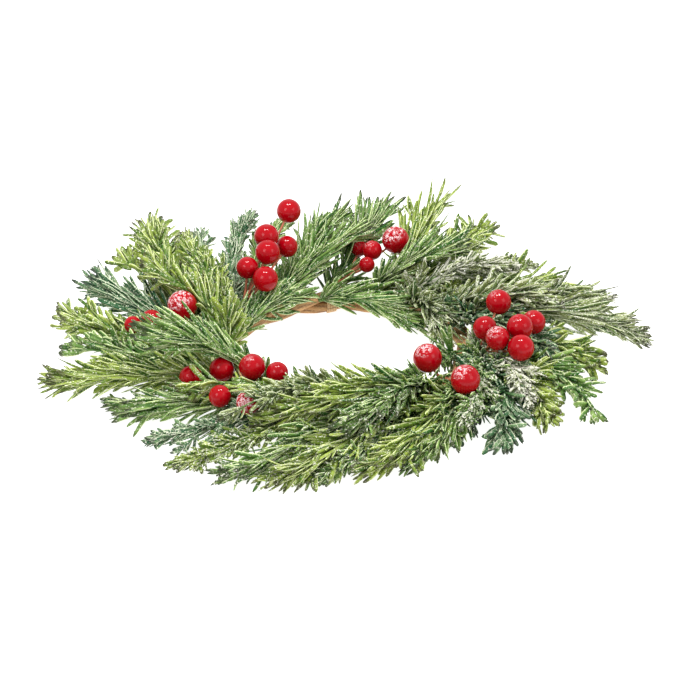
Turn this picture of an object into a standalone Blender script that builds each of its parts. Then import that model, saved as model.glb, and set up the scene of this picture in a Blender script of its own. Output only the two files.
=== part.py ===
"""Cedar candle ring: twisted vine canes with moulded cedar sprays and red berry picks.

The ring lies on its canes on the table at z = 0, with its hole round the Z axis.
All sprays run clockwise seen from above. Sizes are in metres, angles in degrees.
A place on the ring is an angle round Z and, on the cane bundle's section, a clock
angle: 0 points outwards, 90 up, 180 to the hole.
"""

import math
import random

import bmesh
import bpy
from mathutils import Matrix, Vector
from mathutils.kdtree import KDTree

MM = 0.001

# Vine base: three canes laid up like a rope round the ring's centre line
RING_RADIUS = 65 * MM
CANE_COUNT = 3
CANE_RADIUS = 2.85 * MM
STRAND_OFFSET = 3.6 * MM
CANE_TWISTS = 5
CANE_PHASE = 85
CANE_POINTS = 44
FLAT_DEPTH = 0.55 * MM
SLAB_DEPTH = 10 * MM
BUNDLE_HEIGHT = STRAND_OFFSET + CANE_RADIUS - FLAT_DEPTH

# Binding tie round the canes
TIE_ANGLE = 97
TIE_RADIUS = 0.45 * MM
TIE_POINTS = 15

# Clearances between separate pieces, over the table and round the candle. A stem
# starts at its own seat gap from the canes, and as it slants only part of its radius
# points at them
GAP = 0.35 * MM
TABLE_GAP = 0.8 * MM
SEAT_GAP = 0.28 * MM
SEAT_BEARING = 0.7
HOLE_RADIUS = 44 * MM

# Cedar stems and needles
STEM_RADIUS = 1.15 * MM
STEM_END_RADIUS = 0.8 * MM
STEM_POINTS = 5
NEEDLE_ROOT_RADIUS = 0.45 * MM
NEEDLE_RADIUS = 1.1 * MM
NEEDLE_BELLY = 0.55
NEEDLE_SIDES = 3
NEEDLE_TIP_RADIUS = 0.22 * MM
NEEDLE_SPACING = 6.5 * MM
FIRST_NEEDLE = 0.12
LAST_NEEDLE = 0.98
END_NEEDLE_ANGLE = 2
SAMPLE_STEP = 1.1 * MM
SEED = 11

# A stem leaves its seat mostly along the ring, partly off the canes; its Bezier
# handles are this share of its length
LEAVE_ALONG = 0.8
LEAVE_OFF = 0.6
HANDLE_SHARE = 0.3

# A frond's face looks up and a little outwards. Its needles leave left and right in
# turn, rolled by the cycle about the stem, and a needle that would meet another
# piece tries these further rolls and then these shorter lengths
FACE_LEAN = 0.35
ROLL_CYCLE = (0, 38, -30)
ROLL_JITTER = 14
ROLL_TRIALS = (0, 22, -22, 45, -45, 70, -70, 100, -100, 140, 180)
LENGTH_TRIALS = (1, 0.78, 0.6)
LENGTH_DRAW = (0.88, 1.1)
END_LENGTH = 0.8
MIDDLE_GAIN = 0.35

# What each kind of spray is like: needle length, its angle from the stem at the
# root end and at the tip end, and how far it curves forward
KINDS = {
    "feather": dict(length=25 * MM, root=36, tip=15, curve=12),
    "fan": dict(length=19 * MM, root=50, tip=22, curve=10),
    "scaly": dict(length=17 * MM, root=46, tip=20, curve=14),
}

# Sprays, row by row: kind, colour, seat angle, seat clock, then the furthest
# needle's angle, reach and height, and how high the stem arches (mm)
OUTER_SPRAYS = (
    ("feather", "olive", 221, 30, 192, 166, 9, 7),
    ("feather", "green", 244, 22, 205, 140, 5, 6),
    ("scaly", "blue", 257, 22, 222, 142, 4, 5),
    ("scaly", "olive", 269, 24, 233, 152, 4, 6),
    ("feather", "green", 284, 20, 243, 154, 4, 6),
    ("feather", "olive", 297, 24, 253, 151, 4, 6),
    ("scaly", "green", 311, 22, 262, 141, 4, 6),
    ("feather", "olive", 323, 22, 272, 137, 4, 6),
    ("feather", "green", 334, 24, 283, 131, 4, 6),
    ("fan", "blue", 344, 20, 292, 116, 4, 5),
    ("fan", "blue", 352, 26, 305, 134, 4, 8),
    ("fan", "olive", 358, 22, 319, 138, 5, 8),
    ("fan", "green", 4, 26, 327, 157, 6, 9),
    ("fan", "olive", 14, 24, 343, 142, 11, 8),
    ("feather", "frost", 28, 44, 357, 164, 12, 11),
    ("feather", "frost", 40, 26, 8, 156, 15, 8),
    ("fan", "olive", 50, 30, 21, 147, 14, 8),
    ("scaly", "frost", 57, 26, 37, 138, 14, 8),
    ("fan", "olive", 66, 34, 53, 150, 20, 8),
    ("feather", "olive", 75, 34, 65, 154, 35, 8),
    ("feather", "green", 99, 34, 75, 131, 33, 8),
    ("feather", "green", 120, 30, 88, 117, 33, 6),
    ("scaly", "green", 140, 34, 104, 124, 28, 6),
    ("scaly", "blue", 152, 30, 113, 126, 35, 6),
    ("scaly", "blue", 163, 34, 128, 128, 30, 6),
    ("fan", "olive", 171, 30, 134, 156, 32, 8),
    ("fan", "olive", 178, 34, 146, 148, 25, 8),
    ("feather", "blue", 192, 30, 155, 153, 21, 8),
    ("fan", "olive", 202, 24, 169, 159, 18, 4),
    ("fan", "green", 212, 26, 181, 152, 12, 8),
)
CROWN_SPRAYS = (
    ("feather", "green", 232, 90, 200, 120, 32, 16),
    ("fan", "olive", 259, 55, 212, 114, 19, 7),
    ("scaly", "frost", 272, 86, 237, 124, 19, 14),
    ("feather", "olive", 303, 70, 246, 112, 17, 7),
    ("feather", "green", 311, 66, 266, 118, 18, 8),
    ("scaly", "green", 349, 40, 299, 120, 16, 7),
    ("scaly", "frost", 359, 44, 319, 124, 15, 6),
    ("fan", "blue", 24, 75, 343, 118, 17, 4),
    ("fan", "frost", 36, 84, 5, 118, 24, 12),
    ("scaly", "frost", 60, 84, 28, 112, 26, 14),
    ("feather", "green", 76, 84, 46, 104, 27, 12),
    ("feather", "green", 123, 84, 80, 98, 30, 9),
    ("scaly", "olive", 168, 80, 141, 112, 42, 8),
    ("fan", "olive", 187, 110, 158, 118, 40, 8),
)
INNER_SPRAYS = (
    ("feather", "green", 170, 130, 108, 50, 15, 8),
    ("feather", "green", 104, 150, 27, 47, 5, 7),
    ("feather", "frost", 52, 130, 352, 50, 9, 14),
    ("scaly", "green", 347, 130, 296, 50, 11, 6),
    ("feather", "olive", 296, 150, 243, 57, 9, 3),
)
INNER_FAN = 0.0
OUTER_FAN = 0.65

# Berry picks: seat angle, seat clock, then each berry's place (x, y, z) and
# radius, all in mm
BERRY_PICKS = (
    (163, 96, ((-31, 78, 54, 6.7), (-43, 60, 47, 6.8), (-42, 46, 44, 6.8), (-53, 39, 38, 6.0),
               (-43, 29, 36, 6.9), (-32, 66, 38, 6.0))),
    (96, 70, ((28, 83, 34, 7.6), (15, 78, 30, 5.5), (8, 87, 27, 4.6), (12, 68, 26, 4.4))),
    (183, 50, ((-87, 7, 31, 8.0), (-103, -3, 27, 5.8), (-113, -4, 25, 4.6))),
    (236, 60, ((-64, -50, 22, 6.6), (-48, -57, 27, 6.9), (-35, -58, 24, 5.9), (-80, -57, 21, 6.0),
               (-64, -80, 22, 5.8), (-49, -89, 23, 6.4))),
    (343, 72, ((82, 5, 34, 6.8), (74, -18, 30, 6.4), (80, -34, 32, 6.4), (92, -25, 34, 7.0),
               (100, -11, 30, 6.4), (92, -41, 30, 7.0))),
    (317, 86, ((43, -49, 28, 7.7), (62, -73, 28, 7.7))),
)
BERRY_SEGMENTS = 7
BERRY_RINGS = 5
PICK_TRUNK_RADIUS = 1.1 * MM
PICK_TRUNK_SHARE = 0.35
BERRY_WIRE_RADIUS = 0.8 * MM
BERRY_WIRE_POINTS = 3
BERRY_WIRE_SAG = 3 * MM
BERRY_WIRE_LAP = 0.1
BERRY_WIRE_HANDLE = 0.3

# Edges sharper than this stay sharp
SMOOTH_ANGLE = 50

# Finishes: colour, roughness
FINISHES = {
    "vine": ((0.36, 0.15, 0.055), 0.75),
    "tie": ((0.62, 0.42, 0.22), 0.6),
    "olive": ((0.25, 0.36, 0.08), 0.6),
    "green": ((0.08, 0.26, 0.06), 0.6),
    "blue": ((0.05, 0.18, 0.12), 0.6),
    "frost": ((0.42, 0.48, 0.38), 0.85),
    "berry": ((0.5, 0.0, 0.008), 0.2),
}


def clear_scene():
    for item in list(bpy.data.objects):
        bpy.data.objects.remove(item, do_unlink=True)


def new_collection(name):
    group = bpy.data.collections.new(name)
    bpy.context.scene.collection.children.link(group)
    return group


def finish(name):
    """The Principled material of one finish, made the first time it is asked for."""
    found = bpy.data.materials.get(name)
    if found:
        return found
    colour, roughness = FINISHES[name]
    made = bpy.data.materials.new(name)
    made.use_nodes = True
    shader = made.node_tree.nodes["Principled BSDF"]
    shader.inputs["Base Color"].default_value = (*colour, 1)
    shader.inputs["Roughness"].default_value = roughness
    shader.inputs["Metallic"].default_value = 0
    made.diffuse_color = (*colour, 1)
    return made


def add_object(name, data, group, material=None):
    piece = bpy.data.objects.new(name, data)
    group.objects.link(piece)
    if material:
        data.materials.clear()
        data.materials.append(finish(material))
    return piece


def radial(angle):
    turn = math.radians(angle)
    return Vector((math.cos(turn), math.sin(turn), 0))


def clockwise(angle):
    turn = math.radians(angle)
    return Vector((math.sin(turn), -math.cos(turn), 0))


UP = Vector((0, 0, 1))


def strand_centre(strand, angle):
    """Offset of one cane from the bundle's centre, in its section: outwards and up."""
    phase = math.radians(CANE_PHASE + strand * 360 / CANE_COUNT + CANE_TWISTS * angle)
    return STRAND_OFFSET * Vector((math.cos(phase), math.sin(phase)))


def bundle_point(angle, across, height):
    """A point of the bundle's section, by its offset outwards and up from the centre."""
    return radial(angle) * (RING_RADIUS + across) + UP * (BUNDLE_HEIGHT + height)


def seat_point(angle, clock, radius):
    """Where a slanting stem of this radius starts, its lower edge just off the canes."""
    way = Vector((math.cos(math.radians(clock)), math.sin(math.radians(clock))))
    need = CANE_RADIUS + radius * SEAT_BEARING + SEAT_GAP
    reach = 0
    for strand in range(CANE_COUNT):
        centre = strand_centre(strand, angle)
        along = centre.dot(way)
        across = centre.length_squared - along * along
        if need * need > across:
            reach = max(reach, along + math.sqrt(need * need - across))
    return bundle_point(angle, reach * way.x, reach * way.y)


def tube(name, points, radii, group, material, closed=False, sides_level=0):
    """A POLY curve with a bevel through the points, made a mesh with its caps welded."""
    curve = bpy.data.curves.new(name, "CURVE")
    curve.dimensions = "3D"
    curve.bevel_depth = 1
    curve.bevel_resolution = sides_level
    curve.use_fill_caps = not closed
    spline = curve.splines.new("POLY")
    spline.points.add(len(points) - 1)
    for spot, place, radius in zip(spline.points, points, radii):
        spot.co = (*place, 1)
        spot.radius = radius
    spline.use_cyclic_u = closed
    guide = add_object(name + "_curve", curve, group)
    graph = bpy.context.evaluated_depsgraph_get()
    mesh = bpy.data.meshes.new_from_object(guide.evaluated_get(graph))
    bpy.data.objects.remove(guide, do_unlink=True)
    bpy.data.curves.remove(curve)
    shape = bmesh.new()
    shape.from_mesh(mesh)
    bmesh.ops.remove_doubles(shape, verts=shape.verts, dist=0.01 * MM)
    bmesh.ops.recalc_face_normals(shape, faces=shape.faces)
    shape.to_mesh(mesh)
    shape.free()
    mesh.name = name
    return add_object(name, mesh, group, material)


def fuse(core, pieces):
    """Join the pieces to the core with one Boolean union on a collection."""
    joined = new_collection(core.name + "_joined")
    for piece in pieces:
        joined.objects.link(piece)
    union = core.modifiers.new("join", "BOOLEAN")
    union.operation = "UNION"
    union.operand_type = "COLLECTION"
    union.collection = joined
    union.solver = "MANIFOLD"
    graph = bpy.context.evaluated_depsgraph_get()
    mesh = bpy.data.meshes.new_from_object(core.evaluated_get(graph))
    core.modifiers.clear()
    core.data = mesh
    for piece in pieces:
        bpy.data.objects.remove(piece, do_unlink=True)
    bpy.data.collections.remove(joined)


def smooth(piece, angle):
    piece.data.shade_smooth()
    piece.data.set_sharp_from_angle(angle=math.radians(angle))


def samples(line, radii):
    """Points close together along a tube's line, each with the tube's radius there."""
    for start, end, first, last in zip(line, line[1:], radii, radii[1:]):
        steps = max(1, math.ceil((end - start).length / SAMPLE_STEP))
        for step in range(steps + 1):
            share = step / steps
            yield start.lerp(end, share), first + (last - first) * share


class Room:
    """The space that finished pieces take, as sampled points with radii, and berries."""

    def __init__(self):
        self.points = []
        self.balls = []
        self.tree = None
        self.widest = 0

    def add_line(self, line, radii, owner):
        for place, radius in samples(line, radii):
            self.points.append((place, radius, owner))

    def add_ball(self, centre, radius):
        self.balls.append((centre, radius))

    def settle(self):
        self.tree = KDTree(len(self.points))
        for number, (place, _, _) in enumerate(self.points):
            self.tree.insert(place, number)
        self.tree.balance()
        self.widest = max(radius for _, radius, _ in self.points)

    def holds(self, line, radii, owner):
        """True if a tube along this line comes nearer than the gap to another piece."""
        for place, radius in samples(line, radii):
            if place.z < radius + TABLE_GAP:
                return True
            if place.xy.length < HOLE_RADIUS:
                return True
            for centre, size in self.balls:
                if (place - centre).length < size + radius + GAP:
                    return True
            for _, number, distance in self.tree.find_range(place, radius + self.widest + GAP):
                _, size, other = self.points[number]
                if other != owner and distance < radius + size + GAP:
                    return True
        return False


def make_slab(group):
    """The slab below z = 0 that cuts the canes and the tie flat where they lie."""
    shape = bmesh.new()
    width = 3 * RING_RADIUS
    place = (Matrix.Translation((0, 0, -SLAB_DEPTH / 2))
             @ Matrix.Diagonal((width, width, SLAB_DEPTH, 1)))
    bmesh.ops.create_cube(shape, size=1, matrix=place)
    mesh = bpy.data.meshes.new("table_cutter")
    shape.to_mesh(mesh)
    shape.free()
    slab = add_object("table_cutter", mesh, group)
    slab.hide_render = True
    slab.display_type = "WIRE"
    return slab


def flatten(piece, slab):
    cut = piece.modifiers.new("flat_underside", "BOOLEAN")
    cut.operation = "DIFFERENCE"
    cut.object = slab


def make_canes(group, slab, room):
    """Three canes laid up like a rope, each a closed tube with a flat underside."""
    for strand in range(CANE_COUNT):
        line = []
        for step in range(CANE_POINTS):
            angle = 360 * step / CANE_POINTS
            offset = strand_centre(strand, angle)
            line.append(bundle_point(angle, offset.x, offset.y))
        radii = [CANE_RADIUS] * CANE_POINTS
        name = f"vine_cane_{strand + 1}"
        cane = tube(name, line, radii, group, "vine", closed=True, sides_level=2)
        flatten(cane, slab)
        smooth(cane, SMOOTH_ANGLE)
        room.add_line(line + line[:1], radii + radii[:1], name)


def make_tie(group, slab, room):
    """A thread round the canes: the outline of their section, held one gap off them."""
    offset = CANE_RADIUS + TIE_RADIUS + GAP
    centres = [strand_centre(strand, TIE_ANGLE) for strand in range(CANE_COUNT)]
    line = []
    for step in range(TIE_POINTS):
        turn = 2 * math.pi * step / TIE_POINTS
        way = Vector((math.cos(turn), math.sin(turn)))
        outermost = max(centres, key=lambda centre: centre.dot(way))
        spot = outermost + way * offset
        line.append(bundle_point(TIE_ANGLE, spot.x, spot.y))
    radii = [TIE_RADIUS] * TIE_POINTS
    tie = tube("binding_tie", line, radii, group, "tie", closed=True)
    flatten(tie, slab)
    smooth(tie, SMOOTH_ANGLE)
    room.add_line(line + line[:1], radii + radii[:1], tie.name)


def bezier(ends, share):
    a, b, c, d = ends
    rest = 1 - share
    return (a * rest ** 3 + b * (3 * rest * rest * share)
            + c * (3 * rest * share * share) + d * share ** 3)


def pick_ends(angle, clock, berries):
    """A pick's seat on the canes, and the fork that its berry wires spring from."""
    seat = seat_point(angle, clock, PICK_TRUNK_RADIUS)
    middle = sum((Vector(berry[:3]) for berry in berries), Vector()) * MM / len(berries)
    return seat, seat.lerp(middle, PICK_TRUNK_SHARE)


def make_berry_picks(group, room):
    """Each pick: a short trunk from its seat, and a berry at the end of each wire."""
    for number, (angle, clock, berries) in enumerate(BERRY_PICKS, 1):
        name = f"berry_pick_{number}"
        seat, fork = pick_ends(angle, clock, berries)
        trunk_radii = [PICK_TRUNK_RADIUS] * 2
        core = tube(name, [seat, fork], trunk_radii, group, "berry")
        room.add_line([seat, fork], trunk_radii, name)
        pieces = []
        for x, y, z, size in berries:
            centre = Vector((x, y, z)) * MM
            radius = size * MM
            shape = bmesh.new()
            place = Matrix.Translation(centre)
            bmesh.ops.create_uvsphere(shape, u_segments=BERRY_SEGMENTS, v_segments=BERRY_RINGS,
                                      radius=radius, matrix=place)
            mesh = bpy.data.meshes.new("berry")
            shape.to_mesh(mesh)
            shape.free()
            pieces.append(add_object("berry", mesh, group))
            room.add_ball(centre, radius)
            ends = berry_wire(seat, fork, centre)
            last = BERRY_WIRE_POINTS - 1
            wire = [bezier(ends, step / last) for step in range(BERRY_WIRE_POINTS)]
            radii = [BERRY_WIRE_RADIUS] * BERRY_WIRE_POINTS
            pieces.append(tube("wire", wire, radii, group, "berry"))
            room.add_line(wire, radii, name)
        fuse(core, pieces)
        core.data.name = name
        core.data.materials.clear()
        core.data.materials.append(finish("berry"))
        smooth(core, SMOOTH_ANGLE)


def berry_wire(seat, fork, centre):
    """Bezier points of one wire: on from the trunk, then sagging to its berry."""
    start = fork.lerp(seat, BERRY_WIRE_LAP)
    sag = UP * -BERRY_WIRE_SAG
    near = fork.lerp(centre, BERRY_WIRE_HANDLE) + sag * BERRY_WIRE_HANDLE
    return start, near, fork.lerp(centre, 1 - BERRY_WIRE_HANDLE) + sag, centre


def stem_ends(row, fan):
    """Bezier points of one stem: from its seat along the ring, then out to its tip."""
    _, _, angle, clock, tip_angle, tip_reach, tip_height, arch = row
    seat = seat_point(angle, clock, STEM_RADIUS)
    tip = radial(tip_angle) * (tip_reach * MM) + UP * (tip_height * MM)
    length = (tip - seat).length
    turn = math.radians(clock)
    off_bundle = radial(angle) * math.cos(turn) + UP * math.sin(turn)
    leaving = (clockwise(angle) * LEAVE_ALONG + off_bundle * LEAVE_OFF).normalized()
    ending = (clockwise(tip_angle) + radial(tip_angle) * fan).normalized()
    handle = HANDLE_SHARE * length
    lift = UP * (arch * MM)
    return (seat, seat + leaving * handle + lift / 2, tip - ending * handle + lift, tip)


def stem_line(row, fan):
    """The stem's points, which stop where its end needle takes over to reach the tip."""
    ends = stem_ends(row, fan)
    end_needle = KINDS[row[0]]["length"] * END_LENGTH
    share = 1 - end_needle / (ends[3] - ends[0]).length
    return [bezier(ends, share * step / (STEM_POINTS - 1)) for step in range(STEM_POINTS)]


def stem_spot(stem, share):
    """The point at a share of the stem's line, and the line's direction there."""
    place = share * (len(stem) - 1)
    first = min(int(place), len(stem) - 2)
    start, end = stem[first], stem[first + 1]
    return start.lerp(end, place - first), (end - start).normalized()


def needle_line(root, along, side, length, angle, curve):
    """Three points of a needle that leaves at an angle and curves forward."""
    turn = math.radians(angle)
    bent = math.radians(max(angle - curve, 0))
    first = along * math.cos(turn) + side * math.sin(turn)
    last = along * math.cos(bent) + side * math.sin(bent)
    belly = root + first * (length * NEEDLE_BELLY)
    return [root, belly, belly + last * (length * (1 - NEEDLE_BELLY))]


def needle_mesh(line, group):
    """A three-sided cone cut short at the belly, its end face drawn out to the tip."""
    root, belly, tip = line
    way = (belly - root)
    shape = bmesh.new()
    turn = way.to_track_quat("Z", "Y").to_matrix().to_4x4()
    place = Matrix.Translation((root + belly) / 2) @ turn
    bmesh.ops.create_cone(shape, cap_ends=True, segments=NEEDLE_SIDES, radius1=NEEDLE_ROOT_RADIUS,
                          radius2=NEEDLE_RADIUS, depth=way.length, matrix=place)
    end = max(shape.faces, key=lambda face: face.calc_center_median().dot(way))
    point = bmesh.ops.poke(shape, faces=[end])["verts"][0]
    point.co = tip
    mesh = bpy.data.meshes.new("needle")
    shape.to_mesh(mesh)
    shape.free()
    return add_object("needle", mesh, group)


def find_needle(root, frame, hand, roll, length, angle, curve, radii, room, name):
    """The first trial of a needle that keeps clear of every other piece, or None."""
    along, across, face = frame
    for shorter in LENGTH_TRIALS:
        for turn in ROLL_TRIALS:
            about = math.radians(roll + turn)
            side = across * (hand * math.cos(about)) + face * math.sin(about)
            trial = needle_line(root, along, side, length * shorter, angle, curve)
            if not room.holds(trial, radii, name):
                return trial
    return None


def make_spray(name, row, fan, group, room, chance):
    """One stem with needles on both sides and above and below, all fused."""
    kind = KINDS[row[0]]
    stem = stem_line(row, fan)
    taper = (STEM_END_RADIUS - STEM_RADIUS) / (STEM_POINTS - 1)
    stem_radii = [STEM_RADIUS + taper * step for step in range(STEM_POINTS)]
    core = tube(name, stem, stem_radii, group, row[1])
    count = round(sum((b - a).length for a, b in zip(stem, stem[1:])) / NEEDLE_SPACING)
    radii = [NEEDLE_ROOT_RADIUS, NEEDLE_RADIUS, NEEDLE_TIP_RADIUS]
    lines = []
    for number in range(count + 1):
        share = FIRST_NEEDLE + (LAST_NEEDLE - FIRST_NEEDLE) * number / count
        root, along = stem_spot(stem, share)
        face = UP + radial(row[4]) * FACE_LEAN
        face = (face - along * face.dot(along)).normalized()
        angle = kind["root"] + (kind["tip"] - kind["root"]) * share
        if number == count:
            angle = END_NEEDLE_ANGLE
        swell = END_LENGTH + MIDDLE_GAIN * math.sin(math.pi * share)
        roll = ROLL_CYCLE[number % len(ROLL_CYCLE)] + chance.uniform(-ROLL_JITTER, ROLL_JITTER)
        length = kind["length"] * swell * chance.uniform(*LENGTH_DRAW)
        hand = 1 if number % 2 else -1
        frame = (along, along.cross(face), face)
        line = find_needle(root, frame, hand, roll, length, angle, kind["curve"], radii, room, name)
        if line:
            lines.append(line)
    fuse(core, [needle_mesh(line, group) for line in lines])
    core.data.name = name
    core.data.materials.clear()
    core.data.materials.append(finish(row[1]))
    smooth(core, SMOOTH_ANGLE)
    for line in lines:
        room.add_line(line, radii, name)


def main():
    clear_scene()
    group = new_collection("cedar_candle_ring")
    cutters = new_collection("cutters")
    room = Room()
    chance = random.Random(SEED)
    slab = make_slab(cutters)
    make_canes(group, slab, room)
    make_tie(group, slab, room)
    make_berry_picks(group, room)
    rows = (("outer", OUTER_SPRAYS, OUTER_FAN), ("crown", CROWN_SPRAYS, OUTER_FAN),
            ("inner", INNER_SPRAYS, INNER_FAN))
    for title, sprays, fan in rows:
        for number, row in enumerate(sprays, 1):
            stem = stem_line(row, fan)
            room.add_line(stem, [STEM_RADIUS] * STEM_POINTS, f"cedar_{title}_{number:02d}")
    room.settle()
    for title, sprays, fan in rows:
        for number, row in enumerate(sprays, 1):
            name = f"cedar_{title}_{number:02d}"
            make_spray(name, row, fan, group, room, chance)
            room.settle()


main()
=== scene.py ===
"""Looks of the cedar candle ring: bark, moulded cedar, frost and lacquered berries.

Metres and degrees. The ring lies on the table at z = 0 with its hole round the Z axis,
and its sprays run clockwise seen from above, as in the part's own source.
"""
import math

import bpy
import numpy as np
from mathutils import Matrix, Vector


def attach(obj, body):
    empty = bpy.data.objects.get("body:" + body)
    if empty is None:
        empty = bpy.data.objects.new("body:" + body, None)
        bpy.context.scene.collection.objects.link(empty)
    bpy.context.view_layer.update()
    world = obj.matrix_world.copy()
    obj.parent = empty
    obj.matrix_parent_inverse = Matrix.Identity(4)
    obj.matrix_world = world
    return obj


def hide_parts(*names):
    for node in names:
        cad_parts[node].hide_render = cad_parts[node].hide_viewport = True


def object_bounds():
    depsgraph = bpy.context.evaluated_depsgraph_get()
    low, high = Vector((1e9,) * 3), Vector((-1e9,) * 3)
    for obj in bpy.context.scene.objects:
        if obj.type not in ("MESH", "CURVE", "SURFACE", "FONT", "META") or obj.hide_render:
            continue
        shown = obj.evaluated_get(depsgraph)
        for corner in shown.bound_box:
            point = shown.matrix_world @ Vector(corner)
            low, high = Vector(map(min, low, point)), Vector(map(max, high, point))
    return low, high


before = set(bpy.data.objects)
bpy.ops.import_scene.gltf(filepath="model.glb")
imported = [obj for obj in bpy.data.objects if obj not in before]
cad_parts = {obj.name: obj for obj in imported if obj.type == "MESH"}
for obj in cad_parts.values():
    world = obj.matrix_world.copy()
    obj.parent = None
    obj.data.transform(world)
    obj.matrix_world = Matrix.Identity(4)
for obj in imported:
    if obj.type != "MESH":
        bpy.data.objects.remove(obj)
cad_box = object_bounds()
MM = 0.001

# The vine base. The real one is rattan or grapevine: three brown canes laid up like a
# rope and bent into a ring. Everything else is wired to it, and it lies on the table.
RING_RADIUS = 65 * MM
CANE_RADIUS = 2.85 * MM
STRAND_OFFSET = 3.6 * MM
CANE_TWISTS = 5
CANE_PHASE = 85
BUNDLE_HEIGHT = STRAND_OFFSET + CANE_RADIUS - 0.55 * MM
CANE_STEPS = 340
CANE_SIDES = 20
# Bark relief as shares of a cane's radius, and how often a cane swells on its way round
RIDGE_DEPTH = 0.075
SWELL_DEPTH = 0.045
SWELL_ORDERS = (7, 13, 22, 37)


def on_ring(angle, across, height):
    """Points by angle round the ring and offsets outwards and up from the bundle's centre."""
    reach = RING_RADIUS + across
    return np.stack([reach * np.cos(angle), reach * np.sin(angle), BUNDLE_HEIGHT + height], -1)


def strand_offset(strand, angle):
    """Where a cane lies in the bundle's section: a circle that it goes round five times."""
    phase = math.radians(CANE_PHASE + 120 * strand) + CANE_TWISTS * angle
    return STRAND_OFFSET * np.cos(phase), STRAND_OFFSET * np.sin(phase)


def grid_faces(rows, columns, closed_rows):
    """Four-cornered faces of a grid of points, whose columns close and whose rows may."""
    row = np.arange(rows if closed_rows else rows - 1)[:, None]
    column = np.arange(columns)[None, :]
    beyond = (row + 1) % rows
    beside = (column + 1) % columns
    corners = (row * columns + column, row * columns + beside,
               beyond * columns + beside, beyond * columns + column)
    return np.stack(np.broadcast_arrays(*corners), -1).reshape(-1, 4)


def new_shape():
    """An empty shape: lists of points, faces, finishes and paint, and a count of its points."""
    return {"points": [], "faces": [], "finish": [], "paint": [], "count": 0}


def add_part(shape, points, faces, paint, finish=0):
    """Adds points, groups of faces, and four painted values for each point."""
    for group in faces:
        shape["faces"].append(group + shape["count"])
        shape["finish"].append(np.full(len(group), finish))
    shape["points"].append(points.reshape(-1, 3))
    shape["paint"].append(paint.reshape(-1, 4))
    shape["count"] += len(shape["points"][-1])


def make_piece(name, shape, materials, node):
    """The mesh of a shape, made a piece that rides on the part and stands for its node."""
    mesh = bpy.data.meshes.new(name)
    points = np.concatenate(shape["points"])
    sizes = np.concatenate([np.full(len(g), g.shape[1]) for g in shape["faces"]])
    loops = np.concatenate([g.ravel() for g in shape["faces"]])
    mesh.vertices.add(len(points))
    mesh.vertices.foreach_set("co", points.ravel())
    mesh.loops.add(len(loops))
    mesh.loops.foreach_set("vertex_index", loops)
    mesh.polygons.add(len(sizes))
    mesh.polygons.foreach_set("loop_start", np.cumsum(sizes) - sizes)
    mesh.polygons.foreach_set("material_index", np.concatenate(shape["finish"]))
    mesh.polygons.foreach_set("use_smooth", np.ones(len(sizes), bool))
    paint = mesh.attributes.new("paint", "FLOAT_COLOR", "POINT")
    paint.data.foreach_set("color", np.concatenate(shape["paint"]).ravel())
    mesh.update(calc_edges=True)
    for material in materials:
        mesh.materials.append(material)
    piece = bpy.data.objects.new(name, mesh)
    bpy.context.scene.collection.objects.link(piece)
    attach(piece, "root")
    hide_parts(node)
    return piece


def new_finish(name, **shine):
    """A Principled material with its constant values set on the shader's own sockets."""
    made = bpy.data.materials.new(name)
    made.use_nodes = True
    shader = made.node_tree.nodes["Principled BSDF"]
    for socket, value in shine.items():
        shader.inputs[socket.replace("_", " ")].default_value = value
    return made.node_tree, shader, made


def add_node(tree, kind, sockets, **settings):
    """A node with its settings; each socket gets a link, or else a value of its own."""
    made = tree.nodes.new("ShaderNode" + kind)
    for key, value in settings.items():
        setattr(made, key, value)
    for key, value in sockets.items():
        if isinstance(value, bpy.types.NodeSocket):
            tree.links.new(value, made.inputs[key])
        else:
            made.inputs[key].default_value = value
    return made


def colour(red, green, blue):
    """A screen colour of 0 to 255 as the linear colour that shaders take."""
    share = np.array([red, green, blue]) / 255
    linear = np.where(share < 0.04045, share / 12.92, ((share + 0.055) / 1.055) ** 2.4)
    return (*linear.tolist(), 1)


def mix(tree, share, first, second):
    """A blend of two colours: the first at share 0, the second at share 1."""
    return add_node(tree, "Mix", {0: share, 6: first, 7: second}, data_type="RGBA").outputs[2]


def maths(tree, operation, first, second=0.0, third=0.0, clamp=False):
    """One operation on up to three values, held between 0 and 1 where clamp says so."""
    sockets = {0: first, 1: second, 2: third}
    return add_node(tree, "Math", sockets, operation=operation, use_clamp=clamp).outputs[0]


def ramp(tree, value, low, high, start=0.0, end=1.0):
    """A smooth step: start below low, end above high."""
    made = add_node(tree, "MapRange", {0: value, 1: low, 2: high, 3: start, 4: end},
                    interpolation_type="SMOOTHSTEP")
    return made.outputs[0]


def noise(tree, scale, detail):
    """Cloudy noise in the object's own metres, at so many cells a metre."""
    place = add_node(tree, "TexCoord", {}).outputs["Object"]
    sockets = {"Vector": place, "Scale": scale, "Detail": detail}
    return add_node(tree, "TexNoise", sockets).outputs["Fac"]


def bump(tree, shader, height, depth, strength):
    """Tilts the surface as a relief of this height would, at full height depth metres deep."""
    made = add_node(tree, "Bump", {"Height": height, "Distance": depth, "Strength": strength})
    tree.links.new(made.outputs[0], shader.inputs["Normal"])


def painted(tree):
    """The four painted values of a point: tone, place along, edge (the ridge on bark; on leaves, where a
    highlight is painted) and frost.
    """
    source = add_node(tree, "Attribute", {}, attribute_name="paint")
    parts = add_node(tree, "SeparateColor", {0: source.outputs["Color"]})
    return parts.outputs[0], parts.outputs[1], parts.outputs[2], source.outputs["Alpha"]


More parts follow.
